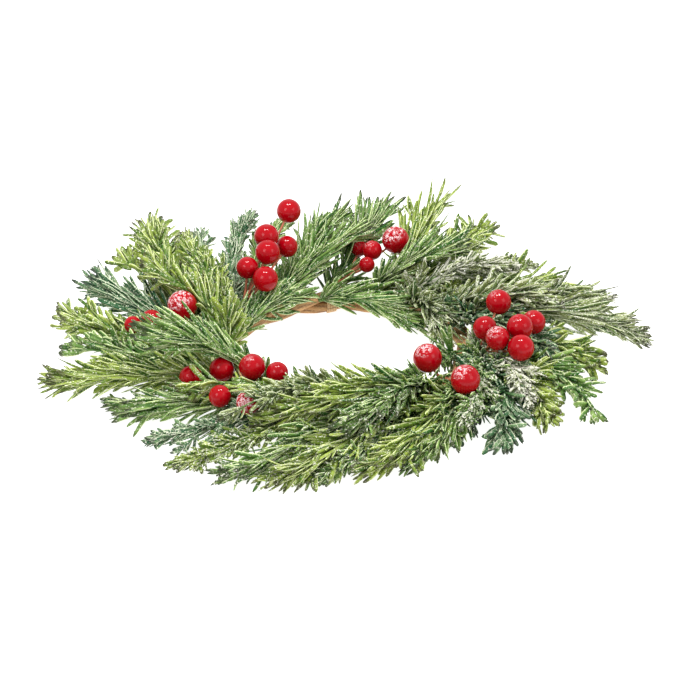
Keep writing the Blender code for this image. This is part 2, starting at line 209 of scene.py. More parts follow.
def make_bark():
    """Brown bark: light ridges, dark grooves and a cloudy change of tone."""
    tree, shader, made = new_finish("vine_bark", Roughness=0.72)
    tone, _, ridge, _ = painted(tree)
    cloud = noise(tree, 210, 4)
    fibre = noise(tree, 1500, 3)
    body = mix(tree, maths(tree, "MULTIPLY_ADD", tone, 0.6, cloud, True),
               colour(142, 96, 52), colour(200, 154, 102))
    body = mix(tree, ramp(tree, ridge, 0.1, 0.65, 0.85, 0.0), body, colour(88, 56, 30))
    body = mix(tree, ramp(tree, fibre, 0.45, 0.75, 0.0, 0.45), body, colour(224, 188, 140))
    tree.links.new(body, shader.inputs["Base Color"])
    bump(tree, shader, maths(tree, "ADD", fibre, maths(tree, "MULTIPLY", cloud, 0.6)), 0.4 * MM, 0.7)
    return made


bark = make_bark()
cane_draw = np.random.default_rng(5)
for strand in range(3):
    turn = np.linspace(0, 2 * math.pi, CANE_STEPS, endpoint=False)[:, None]
    side = np.linspace(0, 2 * math.pi, CANE_SIDES, endpoint=False)[None, :]
    waves = sum(cane_draw.uniform(0.2, 1) * np.cos(order * turn + cane_draw.uniform(0, 6.3))
                for order in SWELL_ORDERS) / 3
    ridge = np.cos(5 * side + 23 * turn) * 0.5 + 0.3 * np.cos(9 * side - 14 * turn + 2 * waves)
    thick = CANE_RADIUS * (1 + RIDGE_DEPTH * ridge + SWELL_DEPTH * waves)
    across, height = strand_offset(strand, turn)
    canes = on_ring(turn, across + thick * np.cos(side), height + thick * np.sin(side))
    canes[..., 2] = np.maximum(canes[..., 2], 0)
    cane = new_shape()
    tone = 0.3 + 0.2 * strand + 0.2 * waves
    shade = np.stack(np.broadcast_arrays(tone, turn / 6.3, 0.5 + 0.5 * ridge, 0), -1)
    add_part(cane, canes, [grid_faces(CANE_STEPS, CANE_SIDES, True)[:, ::-1]], shade)
    make_piece(f"bark_cane_{strand + 1}", cane, [bark], f"vine_cane_{strand + 1}")


# The binding. A light waxed thread is wound a few turns round all three canes at the back
# and pulled tight over them, which holds the ring's joint closed.
TIE_ANGLE = 97
THREAD_RADIUS = 0.4 * MM
THREAD_TURNS = 6
THREAD_PITCH = 0.86
THREAD_STEPS = 60
THREAD_SIDES = 8
# The canes' bark stands out by up to this share of their radius
BARK_ALLOWANCE = 1.06


def thread_line(turns):
    """The thread's line: at each direction, the furthest cane's edge, moving along the ring."""
    turn = np.linspace(0, 2 * math.pi * turns, THREAD_STEPS * turns + 1)
    angle = np.radians(TIE_ANGLE + THREAD_PITCH * (turn / (2 * math.pi) - turns / 2))
    centres = np.stack([np.stack(strand_offset(strand, angle), -1) for strand in range(3)])
    way = np.stack([np.cos(turn), np.sin(turn)], -1)
    furthest = (centres * way).sum(-1).argmax(0)
    spot = centres[furthest, np.arange(len(turn))] + way * (CANE_RADIUS * BARK_ALLOWANCE + THREAD_RADIUS)
    return on_ring(angle, spot[:, 0], spot[:, 1])


def unit(vectors):
    """Each vector divided by its own length."""
    return vectors / np.linalg.norm(vectors, axis=-1, keepdims=True)


def tube_points(line, radius, sides):
    """A circle carried along a line, square to it and kept from turning by a fixed upright."""
    way = unit(np.gradient(line, axis=0))
    right = unit(np.cross(way, (0.03, 0.02, 1.0)))
    up = np.cross(right, way)
    turn = np.linspace(0, 2 * math.pi, sides, endpoint=False)
    radius = np.broadcast_to(radius, len(line))[:, None, None]
    ring = right[:, None] * np.cos(turn)[:, None] + up[:, None] * np.sin(turn)[:, None]
    return line[:, None] + ring * radius


def tube_faces(rings, sides):
    """The sides of an open tube and the two flat faces that close its ends."""
    ends = np.stack([np.arange(sides)[::-1], np.arange(sides) + (rings - 1) * sides])
    return [grid_faces(rings, sides, False), ends]


def make_thread_finish():
    """Twisted light thread: fine light and dark fibres, a little waxy."""
    tree, shader, made = new_finish("tie_thread", Roughness=0.55)
    grain = noise(tree, 2600, 2)
    body = mix(tree, grain, colour(196, 148, 96), colour(236, 208, 164))
    tree.links.new(body, shader.inputs["Base Color"])
    bump(tree, shader, grain, 0.1 * MM, 0.6)
    return made


thread = new_shape()
line = thread_line(THREAD_TURNS)
line[:, 2] = np.maximum(line[:, 2], THREAD_RADIUS)
points = tube_points(line, THREAD_RADIUS, THREAD_SIDES)
add_part(thread, points, tube_faces(len(line), THREAD_SIDES), np.ones((*points.shape[:2], 4)))
make_piece("binding_thread", thread, [make_thread_finish()], "binding_tie")


# The cedar sprays. Each is a frond of soft moulded plastic on a thin wire stem: ribbed
# leaves in flat fans, long needles or short overlapping scales. The stems are wired to
# the canes one over the next, and all run the same way round, fanning outwards.
STEM_RADIUS = 1.15 * MM
STEM_TIP_RADIUS = 0.5 * MM
STEM_STEPS = 16
STEM_SIDES = 7

# A stem starts this gap off the canes. It leaves along the ring and off the canes in these
# shares, with Bezier handles of this share of its length, and its tip fans out from the ring.
# Its face leans outwards. Its end leaf is this share of a twig's length
SEAT_GAP = 0.28 * MM
SEAT_BEARING = 0.7
LEAVE_ALONG = 0.8
LEAVE_OFF = 0.6
HANDLE_SHARE = 0.3
FACE_LEAN = 0.35
OUTER_FAN = 0.65
INNER_FAN = 0.0
END_LENGTH = 0.8
UP = np.array([0, 0, 1.0])

# Where leaves may be. At the front of the hole they stay under a slope that rises outwards
# from the hole's edge, which fades out further back. None goes past its own frond's tip,
# or past the least reach (mm) where that is more
HOLE_RADIUS = 43 * MM
HOLE_EDGE = 9 * MM
HOLE_FRONT = -22 * MM
FRONT_FADE = 3
LEAF_OVER = 1 * MM
LEAST_REACH = 90
TABLE_CLEAR = 0.9 * MM
BOX_OVER = 4 * MM

# Row by row: kind, colour, seat angle, seat clock, then the furthest leaf's angle, reach
# and height, how high the stem arches (mm), how frosted it is and how light its tone
OUTER_SPRAYS = (
    ("feather", "olive", 221, 30, 192, 166, 9, 7, 0.05, 0.45),
    ("feather", "green", 244, 22, 205, 140, 5, 6, 0.12, 0.5),
    ("scaly", "blue", 257, 22, 222, 142, 4, 5, 0.28, 0.32),
    ("scaly", "olive", 269, 24, 233, 152, 4, 6, 0.32, 0.36),
    ("feather", "green", 284, 20, 243, 154, 4, 6, 0.3, 0.45),
    ("feather", "olive", 297, 24, 253, 151, 4, 6, 0.2, 0.55),
    ("scaly", "green", 311, 22, 262, 141, 4, 6, 0.3, 0.45),
    ("feather", "olive", 323, 22, 272, 137, 4, 6, 0.05, 0.55),
    ("feather", "green", 334, 24, 283, 131, 4, 6, 0.05, 0.45),
    ("fan", "blue", 344, 20, 292, 116, 4, 5, 0.2, 0.35),
    ("fan", "blue", 352, 26, 305, 134, 4, 8, 0.15, 0.35),
    ("fan", "olive", 358, 22, 319, 138, 5, 8, 0.05, 0.6),
    ("fan", "green", 4, 26, 327, 157, 6, 9, 0.02, 0.45),
    ("fan", "olive", 14, 24, 343, 142, 11, 8, 0.05, 0.5),
    ("feather", "frost", 28, 44, 357, 164, 12, 11, 0.3, 0.45),
    ("feather", "frost", 40, 26, 8, 156, 15, 8, 0.4, 0.5),
    ("fan", "olive", 50, 30, 21, 147, 14, 8, 0.12, 0.5),
    ("scaly", "frost", 57, 26, 37, 138, 14, 8, 0.4, 0.5),
    ("fan", "olive", 66, 34, 53, 150, 20, 8, 0.1, 0.5),
    ("feather", "olive", 75, 34, 65, 154, 35, 8, 0.02, 0.5),
    ("feather", "green", 99, 34, 75, 131, 33, 8, 0.02, 0.42),
    ("feather", "green", 120, 30, 88, 117, 33, 6, 0.02, 0.45),
    ("scaly", "green", 140, 34, 104, 124, 28, 6, 0.15, 0.5),
    ("scaly", "blue", 152, 30, 113, 126, 35, 6, 0.25, 0.42),
    ("scaly", "blue", 163, 34, 128, 128, 30, 6, 0.25, 0.5),
    ("fan", "olive", 171, 30, 134, 156, 32, 8, 0.02, 0.45),
    ("fan", "olive", 178, 34, 146, 148, 25, 8, 0.05, 0.45),
    ("feather", "blue", 192, 30, 155, 153, 21, 8, 0.05, 0.15),
    ("fan", "olive", 202, 24, 169, 159, 18, 4, 0.02, 0.45),
    ("fan", "green", 212, 26, 181, 152, 12, 8, 0.02, 0.5),
)
CROWN_SPRAYS = (
    ("feather", "green", 232, 90, 200, 120, 32, 16, 0.05, 0.45),
    ("fan", "olive", 259, 55, 212, 114, 19, 7, 0.15, 0.55),
    ("scaly", "frost", 272, 86, 237, 124, 19, 14, 0.1, 0.5),
    ("feather", "olive", 303, 70, 246, 112, 17, 7, 0.05, 0.55),
    ("feather", "green", 311, 66, 266, 118, 18, 8, 0.25, 0.4),
    ("scaly", "green", 349, 40, 299, 120, 16, 7, 0.45, 0.5),
    ("scaly", "frost", 359, 44, 319, 124, 15, 6, 0.85, 0.5),
    ("fan", "blue", 24, 75, 343, 118, 17, 4, 0.15, 0.3),
    ("fan", "frost", 36, 84, 5, 118, 24, 12, 0.35, 0.5),
    ("scaly", "frost", 60, 84, 28, 112, 26, 14, 0.75, 0.5),
    ("feather", "green", 76, 84, 46, 104, 27, 12, 0.2, 0.4),
    ("feather", "green", 123, 84, 80, 98, 30, 9, 0.02, 0.45),
    ("scaly", "olive", 168, 80, 141, 112, 42, 8, 0.12, 0.45),
    ("fan", "olive", 187, 110, 158, 118, 40, 8, 0.04, 0.45),
)
INNER_SPRAYS = (
    ("feather", "green", 170, 130, 108, 50, 15, 8, 0.03, 0.42),
    ("feather", "green", 104, 150, 27, 47, 5, 7, 0.05, 0.42),
    ("feather", "frost", 52, 130, 352, 50, 9, 14, 0.3, 0.4),
    ("scaly", "green", 347, 130, 296, 50, 11, 6, 0.05, 0.35),
    ("feather", "olive", 296, 150, 243, 57, 9, 3, 0.02, 0.5),
)
# Berries of each pick: seat angle and clock, then each berry's place and radius (mm), how
# frosted it is, and how widely the leaves in front of it are left out
BERRY_PICKS = (
    (163, 96, ((-31, 78, 54, 6.7, 0, 1), (-43, 60, 47, 6.8, 0, 1), (-42, 46, 44, 6.8, 0, 1),
               (-53, 39, 38, 6.0, 0, 1), (-43, 29, 36, 6.9, 0, 1), (-32, 66, 38, 6.0, 0, 0.2))),
    (96, 70, ((28, 83, 34, 7.6, 0.6, 1), (15, 78, 30, 5.5, 0.2, 0.8), (8, 87, 27, 4.6, 0.2, 0.9),
              (12, 68, 26, 4.4, 0.1, 0.7))),
    (183, 50, ((-87, 7, 31, 8.0, 0.66, 1), (-103, -3, 27, 5.8, 0, 0.4), (-113, -4, 25, 4.6, 0, 0))),
    (236, 60, ((-64, -50, 22, 6.6, 0, 1), (-48, -57, 27, 6.9, 0.15, 1), (-35, -58, 24, 5.9, 0.1, 0.6),
               (-80, -57, 21, 6.0, 0, 0.5), (-64, -80, 22, 5.8, 0, 0.7), (-49, -89, 23, 6.4, 1, 0.5))),
    (343, 72, ((82, 5, 34, 6.8, 0.15, 1), (74, -18, 30, 6.4, 0, 1), (80, -34, 32, 6.4, 0.35, 1),
               (92, -25, 34, 7.0, 0.1, 1), (100, -11, 30, 6.4, 0.1, 1), (92, -41, 30, 7.0, 0, 1))),
    (317, 86, ((43, -49, 28, 7.7, 0.34, 1), (62, -73, 28, 7.7, 0.34, 1))),
)
ALL_BERRIES = np.array([berry for pick in BERRY_PICKS for berry in pick[2]]) * ((MM,) * 4 + (1, 1))
# Open places between the fronds and at the hole, where no leaf reaches: place and radius (mm)
OPEN_PLACES = MM * np.array((
    (42, 132, 38, 11), (49, 142, 38, 5), (-116, 50, 25, 9), (-124, 60, 22, 6), (-108, 40, 27, 6),
    (3, -52, 30, 6), (14, -54, 25, 8), (-52, -32, 27, 7), (-46, -38, 30, 6), (135, -64, 12, 9),
    (141, -72, 8, 7), (148, 28, 16, 9), (128, 62, 24, 7), (-135, -23, 15, 7), (-151, -27, 12, 5),
    (107, 80, 22, 6), (123, 71, 18, 6), (139, 61, 15, 6), (152, 51, 12, 6),
))
# Leaves are left out where they would come near a row of balls that runs forwards and up from each berry,
# each this share of the berry's size; they keep off every ball by this share of their half width
BENT_ASIDE = np.linspace(0, 26 * MM, 7)[:, None] * np.array([0, -0.89, 0.454])
BENT_SIZE = 0.9
LEAF_CLEARANCE = 0.6

# A leaf's section, from its right edge over the top: across, rise, and how much painted highlight it
# carries, a pale band painted mostly along one edge as if lit from that side;
# then the shares of its length at which a long and a short leaf have a section
LEAF_ACROSS = np.array([1, 0, -1, 0])
LEAF_RISE = np.array([0, 0.5, 0, -0.45])
LEAF_EDGE_HIGHLIGHT = np.array([1, 0, 0.45, 0.1])
LEAF_SIDES = 4
LEAF_RIBS = 170
LONG_LEAF = np.array([0, 0.3, 0.62, 0.9, 1])
SHORT_LEAF = np.array([0, 0.4, 0.85, 1])

# How leaves of one frond differ: bow as a share of length, twist, tone and frost. Only
# leaves in the outer part of a frond's reach wither, from this share of it over this band
LEAF_BOW = 0.13
LEAF_TWIST = 0.7
TONE_SPREAD = 0.26
FROST_SPREAD = (0.2, 1.4)
WITHER_START = 0.88
WITHER_BAND = 0.08
FRESH_TIP = 0.76

# What each kind of frond is like. A frond has twigs left and right: their length with the
# end leaf (mm), angle from the stem at its root and tip, forward curve, and number for
# each mm of stem. A twig has leaves: how many, length and half width (mm), and angle at
# its root and tip. Needles spring from the stem itself: number for each mm, and length.
# Leaves roll about what they spring from (degrees) and are pointed (0) or blunt (1)
KINDS = {
    "feather": dict(length=27, root=32, tip=13, curve=14, twigs=0.4, each=8, leaf=20, half=1.1,
                    lean=(24, 9), needles=1.8, needle=29, roll=30, blunt=0.85, share=LONG_LEAF),
    "fan": dict(length=22, root=52, tip=24, curve=10, twigs=0.4, each=6, leaf=14, half=1.4,
                lean=(46, 24), needles=1.4, needle=19, roll=26, blunt=1.0, share=LONG_LEAF),
    "scaly": dict(length=19, root=44, tip=18, curve=14, twigs=0.42, each=14, leaf=8, half=1.05,
                  lean=(38, 18), needles=1.2, needle=14, roll=30, blunt=0.9, share=SHORT_LEAF),
}


def toward(angle):
    """The way outwards at an angle round the ring: its cosine and sine."""
    return np.array([math.cos(math.radians(angle)), math.sin(math.radians(angle)), 0])


def clockwise(angle):
    """The way along the ring, clockwise seen from above: the outward way turned by -90 degrees."""
    return np.array([math.sin(math.radians(angle)), -math.cos(math.radians(angle)), 0])


def seat_point(angle, clock, radius):
    """The nearest place along the clock direction where a stem clears all three canes."""
    way = np.array([math.cos(math.radians(clock)), math.sin(math.radians(clock))])
    need = CANE_RADIUS + radius * SEAT_BEARING + SEAT_GAP
    centres = np.stack([np.stack(strand_offset(strand, math.radians(angle))) for strand in range(3)])
    along = centres @ way
    room = np.maximum(need ** 2 - (centres ** 2).sum(-1) + along ** 2, 0)
    reach = max(0, np.where(room > 0, along + np.sqrt(room), 0).max())
    return on_ring(math.radians(angle), reach * way[0], reach * way[1])


def stem_ends(row, fan):
    """Bezier points of a stem: it leaves along the ring and ends fanned out at its tip."""
    _, _, angle, clock, tip_angle, reach, height, arch = row[:8]
    seat = seat_point(angle, clock, STEM_RADIUS)
    tip = toward(tip_angle) * reach * MM + UP * height * MM
    off = toward(angle) * math.cos(math.radians(clock)) + UP * math.sin(math.radians(clock))
    handle = HANDLE_SHARE * np.linalg.norm(tip - seat)
    leaving = unit(clockwise(angle) * LEAVE_ALONG + off * LEAVE_OFF)
    ending = unit(clockwise(tip_angle) + toward(tip_angle) * fan)
    lift = UP * arch * MM
    return seat, seat + leaving * handle + lift / 2, tip - ending * handle + lift, tip


def bezier(ends, share):
    """Cubic Bezier points: the four ends weighted by the powers of share and its rest."""
    share = np.asarray(share)[:, None]
    rest = 1 - share
    return (ends[0] * rest ** 3 + ends[1] * 3 * rest ** 2 * share
            + ends[2] * 3 * rest * share ** 2 + ends[3] * share ** 3)


def square_to(vectors, ahead):
    """The part of the vectors that is square to ahead, at unit length."""
    return unit(vectors - ahead * (vectors * ahead).sum(-1, keepdims=True))


def arcs(root, ahead, side, length, start, end, share):
    """Arcs from root with points at these shares of their length: each step runs along ahead
    turned towards side, by an angle that goes from start to end."""
    turn = start[:, None] + (end - start)[:, None] * (share[1:] + share[:-1]) / 2
    step = np.cos(turn)[..., None] * ahead[:, None] + np.sin(turn)[..., None] * side[:, None]
    step = step * (length[:, None] * np.diff(share))[..., None]
    path = root[:, None] + np.concatenate([np.zeros_like(step[:, :1]), np.cumsum(step, 1)], 1)
    turn = start[:, None] + (end - start)[:, None] * share
    way = np.cos(turn)[..., None] * ahead[:, None] + np.sin(turn)[..., None] * side[:, None]
    right = np.cos(turn)[..., None] * side[:, None] - np.sin(turn)[..., None] * ahead[:, None]
    return path, way, right


def leaf_points(path, way, right, share, half, blunt, twist):
    """A four-sided section carried along each path, narrow at its root, full in the middle and
    rounded off at its tip; twist turns it about the path by so much on the way."""
    pointed = np.interp(share, (0, 0.2, 0.5, 0.8, 1), (0.55, 0.85, 1, 0.62, 0.12))
    rounded = np.interp(share, (0, 0.3, 0.62, 0.9, 1), (0.5, 0.85, 1, 0.92, 0.4))
    width = half[:, None] * (pointed * (1 - blunt[:, None]) + rounded * blunt[:, None])
    turn = twist[:, None] * (share + 0.3)
    above = np.cross(way, right)
    turned = right * np.cos(turn)[..., None] + above * np.sin(turn)[..., None]
    above = above * np.cos(turn)[..., None] - right * np.sin(turn)[..., None]
    across = width[..., None] * LEAF_ACROSS
    rise = width[..., None] * LEAF_RISE
    return (path[:, :, None] + turned[:, :, None] * across[..., None]
            + above[:, :, None] * rise[..., None])


def leaf_faces(count, rings):
    """The faces of one closed leaf, repeated for all of them."""
    shift = (np.arange(count) * rings * LEAF_SIDES)[:, None, None]
    return [(group[None] + shift).reshape(-1, group.shape[1]) for group in tube_faces(rings, LEAF_SIDES)]


def clear(path, half, reach):
    """True for each path that keeps out of the berries, the open places, the hole and the
    table, under the slope at the front of the hole, and within its frond's reach and the box."""
    low, high = np.array(cad_box[0]), np.array(cad_box[1])
    balls = (ALL_BERRIES[:, None, :3] + BENT_ASIDE).reshape(-1, 3)
    at_berry = np.arange(len(BENT_ASIDE)) == 0
    sizes = (ALL_BERRIES[:, 3:4] * np.where(at_berry, 1, ALL_BERRIES[:, 5:6] * BENT_SIZE)).ravel()
    away = np.linalg.norm(path[:, :, None] - balls, axis=-1) - sizes
    free = (away > half[:, None, None] * LEAF_CLEARANCE * (sizes > 0)).all((1, 2))
    across = np.linalg.norm(path[..., :2], axis=-1)
    free &= (across > HOLE_RADIUS).all(1)
    free &= (path[..., 2] > TABLE_CLEAR).all(1)
    behind = FRONT_FADE * np.maximum(path[..., 1] - HOLE_FRONT, 0)
    free &= (path[..., 2] < HOLE_EDGE + across - HOLE_RADIUS + behind).all(1)
    free &= (across < reach + LEAF_OVER).all(1)
    away = np.linalg.norm(path[:, :, None] - OPEN_PLACES[:, :3], axis=-1)
    free &= (away > OPEN_PLACES[:, 3]).all((1, 2))
    return free & ((path > low - BOX_OVER) & (path < high + BOX_OVER)).all((1, 2))


def add_leaves(shape, leaves, tone, frost, reach, draw):
    """Adds the leaves that keep clear to the shape, and returns their points and outward ways."""
    path, way, right = arcs(leaves["root"], leaves["ahead"], leaves["side"], leaves["length"],
                            leaves["start"], leaves["end"], leaves["share"])
    bow = draw.normal(0, LEAF_BOW, len(path)) * leaves["length"]
    bow = bow[:, None] * leaves["share"] ** 2
    path = path + np.cross(way[:, :1], right[:, :1]) * bow[..., None]
    keep = clear(path, leaves["half"], reach)
    path, way, right = path[keep], way[keep], right[keep]
    count = len(path)
    if not count:
        return np.zeros((0, 3)), np.zeros((0, 3)), np.zeros(0)
    half = leaves["half"][keep]
    blunt = np.full(count, leaves["blunt"])
    twist = draw.normal(0, LEAF_TWIST, count)
    points = leaf_points(path, way, right, leaves["share"], half, blunt, twist)
    tones = (tone + draw.normal(0, TONE_SPREAD, count)).clip(0, 1)[:, None, None]
    snow = (frost * draw.uniform(*FROST_SPREAD, count)).clip(0, 1)[:, None, None]
    out = points - path[:, :, None]
    reached = np.linalg.norm(path[:, -1, :2], axis=-1) / reach
    withered = np.clip((reached - WITHER_START) / WITHER_BAND, 0, 1)
    # Place along each leaf: near the stem it takes painted shade, as the frond's inside lies in shade; at
    # the frond's rim its tip withers
    along = leaves["near"][keep][:, None] + leaves["share"] * leaves["far"]
    along = along * (FRESH_TIP + (1 - FRESH_TIP) * withered[:, None])
    lit = unit(out)[..., 2] * 0.5 + 0.5
    # The third painted value says where the pale edge highlight is painted on each leaf
    paint = np.stack(np.broadcast_arrays(tones, along[..., None], LEAF_EDGE_HIGHLIGHT, snow * lit), -1)
    add_part(shape, points, leaf_faces(count, len(leaves["share"])), paint)
    weight = np.broadcast_to(snow * lit, points.shape[:3])
    return points.reshape(-1, 3), unit(out).reshape(-1, 3), weight.ravel()


def frond_frame(ends, tip_angle, share):
    """Stem points at these shares, with the stem's way, its face and the way across it."""
    root = bezier(ends, share)
    ahead = unit(bezier(ends, share + 0.005) - root)
    face = square_to(UP + toward(tip_angle) * FACE_LEAN, ahead)
    return root, ahead, face, np.cross(ahead, face)


def rolled(across, face, hand, roll):
    """The way a leaf leaves: left or right across the stem, rolled about it."""
    return across * (hand * np.cos(roll))[:, None] + face * np.sin(roll)[:, None]


# Frost crumbs: their form, how many a fully frosted frond has, and their radius (mm)
CRUMB_POINTS = np.array([[1, 0, 0], [-1, 0, 0], [0, 1, 0], [0, -1, 0], [0, 0, 1], [0, 0, -1]])
CRUMB_FACES = np.array([[0, 2, 4], [2, 1, 4], [1, 3, 4], [3, 0, 4],
                        [2, 0, 5], [1, 2, 5], [3, 1, 5], [0, 3, 5]])
CRUMB_COUNT = 800
CRUMB_GROWTH = 1.2
CRUMB_SIZE = (0.16, 0.38)
# The finishes of a frond, by their place in its list: its own green, then the frost's
FROND_FROST = 1


def add_crumbs(shape, points, out, weight, count, size, draw, finish):
    """Frost crumbs: small eight-sided grains sunk a little into points chosen by weight."""
    if count < 1 or weight.sum() <= 0:
        return
    chosen = draw.choice(len(points), count, p=weight / weight.sum())
    radius = draw.uniform(*size, (count, 1, 1)) * MM
    stretch = draw.uniform(0.6, 1.3, (count, 1, 3))
    centre = points[chosen] + out[chosen] * radius[:, 0] * 0.4
    grains = centre[:, None] + CRUMB_POINTS * stretch * radius
    faces = (CRUMB_FACES[None] + (np.arange(count) * 6)[:, None, None]).reshape(-1, 3)
    add_part(shape, grains, [faces], np.ones((count, 6, 4)), finish)


def make_leaf_finish(name, deep, light, edge, tip):
    """Moulded leaf: its colour goes from deep to light by its tone and a cloud, with a painted highlight
    as a pale band along one edge, pale flecks painted as glints, painted shade that deepens the leaf
    towards its root inside the frond, a withered tip at the outer rim, and frost in fine grains where a
    noise passes a threshold that falls as the painted frost grows."""
    tree, shader, made = new_finish(name, Roughness=0.5, Specular_IOR_Level=0.25)
    tone, along, rim, frost = painted(tree)
    cloud = noise(tree, 330, 3)
    grain = noise(tree, 1900, 2)
    lightness = maths(tree, "MULTIPLY_ADD", cloud, 1.0, maths(tree, "SUBTRACT", tone, 0.5), True)
    body = mix(tree, lightness, deep, light)
    # Painted highlight: a pale band painted along the lit edge of each leaf, as light would fall on it,
    # broken up by the grain
    painted_edge_highlight = maths(tree, "MULTIPLY", ramp(tree, rim, 0.5, 0.9), ramp(tree, grain, 0.3, 0.6, 0.45, 1.0))
    body = mix(tree, painted_edge_highlight, body, edge)
    # Painted glints: scattered pale flecks stand in for small sparkling highlights on the leaf
    painted_glint = ramp(tree, noise(tree, 950, 2), 0.6, 0.66, 0.0, 0.8)
    body = mix(tree, painted_glint, body, colour(246, 248, 222))
    # Painted shade: the leaf deepens towards its root, where shade falls inside the frond
    body = mix(tree, ramp(tree, along, 0.05, 0.5, 0.7, 0.0), body, colour(44, 106, 34))
    dry = maths(tree, "MULTIPLY", ramp(tree, along, 0.78, 0.93), ramp(tree, tone, 0.45, 0.85, 0.95, 0.45))
    body = mix(tree, dry, body, tip)
    bare = maths(tree, "MULTIPLY_ADD", frost, -0.44, 0.65)
    snow = ramp(tree, noise(tree, 1000, 3), bare, maths(tree, "ADD", bare, 0.08))
    body = mix(tree, snow, body, mix(tree, grain, colour(196, 198, 176), colour(236, 234, 222)))
    tree.links.new(body, shader.inputs["Base Color"])
    tree.links.new(ramp(tree, snow, 0.0, 1.0, 0.48, 0.9), shader.inputs["Roughness"])
    rib_place = maths(tree, "MULTIPLY", along, LEAF_RIBS)
    ribs = maths(tree, "MULTIPLY", maths(tree, "SINE", rib_place), 0.5)
    relief = maths(tree, "ADD", maths(tree, "ADD", grain, snow), ribs)
    bump(tree, shader, relief, 0.18 * MM, 0.6)
    return made


# The four moulded greens, each as its deep, light, painted edge highlight and withered tip colour
LEAF_COLOURS = {
    "olive": ((58, 94, 18), (146, 164, 66), (238, 246, 176), (60, 60, 34)),
    "green": ((38, 88, 26), (124, 154, 74), (232, 244, 182), (50, 58, 34)),
    "blue": ((34, 82, 48), (112, 142, 96), (224, 236, 198), (44, 54, 40)),
    "frost": ((60, 90, 40), (146, 156, 92), (230, 236, 200), (62, 64, 46)),
}
LEAF_FINISHES = {name: make_leaf_finish("cedar_" + name, *[colour(*shade) for shade in shades])
                 for name, shades in LEAF_COLOURS.items()}


def make_frost_finish():
    """Frost grains: off-white and rough, a little warmer and darker in places."""
    tree, shader, made = new_finish("frost_grains", Roughness=0.8)
    body = mix(tree, noise(tree, 240, 1), colour(222, 214, 206), colour(248, 246, 236))
    tree.links.new(body, shader.inputs["Base Color"])
    return made


frost_grains = make_frost_finish()


# Twigs: how far they spread about their mean angle (degrees), their half width, and how
# finely their line is worked out. Leaves round a stem's seat and at its end, in number
TWIG_SPREAD = 9
TWIG_HALF = 0.5 * MM
TWIG_STEPS = 40
COLLAR_LEAVES = 36
END_LEAVES = 6
END_ANGLES = (0.03, 0.16, 0.22, 0.3, 0.4, 0.5)


def swelling(share):
    """Longer in the middle than at either end: half a sine wave on a constant."""
    return 0.8 + 0.35 * np.sin(math.pi * share)


def sided(count):
    """Left and right in turn: -1 and 1."""
    return np.where(np.arange(count) % 2, 1.0, -1.0)


def add_twigs(rows, kind, ends, tip_angle, stop, draw):
    """Twigs that leave the stem left and right in turn, and their leaves, the same way."""
    length = np.linalg.norm(ends[3] - ends[0]) * stop / MM
    count = int(length * kind["twigs"])
    share = np.linspace(0.03, 1.0, count)
    roll = np.radians(draw.normal(0, kind["roll"], count))
    root, ahead, face, across = frond_frame(ends, tip_angle, share * stop)
    lean = np.interp(share, (0, 1), (kind["root"], kind["tip"]))
    start = np.radians(lean + draw.normal(0, TWIG_SPREAD, count))
    start[-1] = END_ANGLES[0]
    swell = swelling(share) * draw.uniform(0.72, 1.15, count)
    size = (kind["length"] * swell - 0.85 * kind["leaf"]) * MM
    side = rolled(across, face, sided(count), roll)
    end = start - np.radians(kind["curve"] * draw.uniform(0.2, 1.8, count))
    rows.append(dict(root=root, ahead=ahead, side=side, length=size, start=start, end=end,
                     share=LONG_LEAF, half=np.full(count, TWIG_HALF), blunt=0.3,
                     near=np.full(count, 0.1), far=0.4))
    path, way, right = arcs(root, ahead, side, size, start, end, np.linspace(0, 1, TWIG_STEPS + 1))
    each = kind["each"]
    spot = np.linspace(0.1, 1.0, each)
    pick = np.rint(spot * TWIG_STEPS).astype(int)
    joint, forward, outward = path[:, pick], way[:, pick], right[:, pick]
    above = np.cross(forward, outward)
    leaf_roll = np.radians(draw.normal(0, kind["roll"] * 1.2, (count, each)))
    turned = outward * (sided(each) * np.cos(leaf_roll))[..., None]
    turned = turned + above * np.sin(leaf_roll)[..., None]
    total = count * each
    spot = np.broadcast_to(spot, (count, each)).ravel()
    leaf = kind["leaf"] * MM * (1.05 - 0.25 * spot) * draw.uniform(0.7, 1.2, total)
    lean = np.radians(np.interp(spot, (0, 1), kind["lean"]) + draw.normal(0, TWIG_SPREAD, total))
    lean[each - 1::each] = 0.05
    rows.append(dict(root=joint.reshape(-1, 3), ahead=forward.reshape(-1, 3), side=turned.reshape(-1, 3),
                     length=leaf, start=lean, end=lean - np.radians(draw.normal(14, 20, total)),
                     share=kind["share"], blunt=kind["blunt"], far=0.6,
                     half=kind["half"] * MM * draw.uniform(0.8, 1.15, total), near=0.2 + 0.2 * spot))


